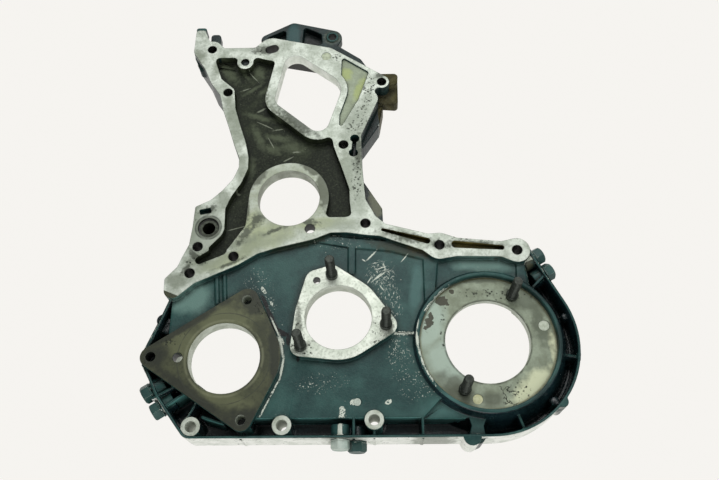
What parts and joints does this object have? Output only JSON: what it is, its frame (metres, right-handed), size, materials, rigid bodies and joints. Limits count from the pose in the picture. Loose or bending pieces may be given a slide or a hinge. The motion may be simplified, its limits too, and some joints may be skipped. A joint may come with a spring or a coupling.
{
  "type": "pump gear housing",
  "caption": "Cast aluminium housing for pump gears: an arm with a gasket face over a painted case with two pump flanges, a studded ring and a channelled rim.",
  "frame": {"origin": "axis of the main bore, on the rear joint face", "axes": "+Z from the rear joint face to the front, +Y along the arm, +X from the arm's side towards the main bore"},
  "size_m": [0.4566, 0.538, 0.09],
  "materials": {
    "cast_aluminium": "dark teal paint on a sand casting, with bare machined faces",
    "stud_steel": "blackened threaded steel",
    "bolt_painted": "painted over with the case",
    "bush_steel": "oily turned steel",
    "plug_brass": "dull pressed cup",
    "plug_steel": "dull pressed cup"
  },
  "bodies": {
    "root": {"housing": "cast_aluminium", "flange_stud_1": "stud_steel", "flange_stud_2": "stud_steel", "flange_stud_3": "stud_steel", "ring_stud_1": "stud_steel", "ring_stud_2": "stud_steel", "side_bolt_1": "bolt_painted", "side_bolt_2": "bolt_painted", "side_bolt_3": "bolt_painted", "side_bolt_4": "bolt_painted", "side_bolt_5": "bolt_painted", "side_bolt_6": "bolt_painted", "port_bush": "bush_steel", "ring_plug_1": "plug_brass", "ring_plug_2": "plug_steel", "gallery_plug": "plug_steel", "field_plug": "plug_steel"}
  },
  "joints": []
}
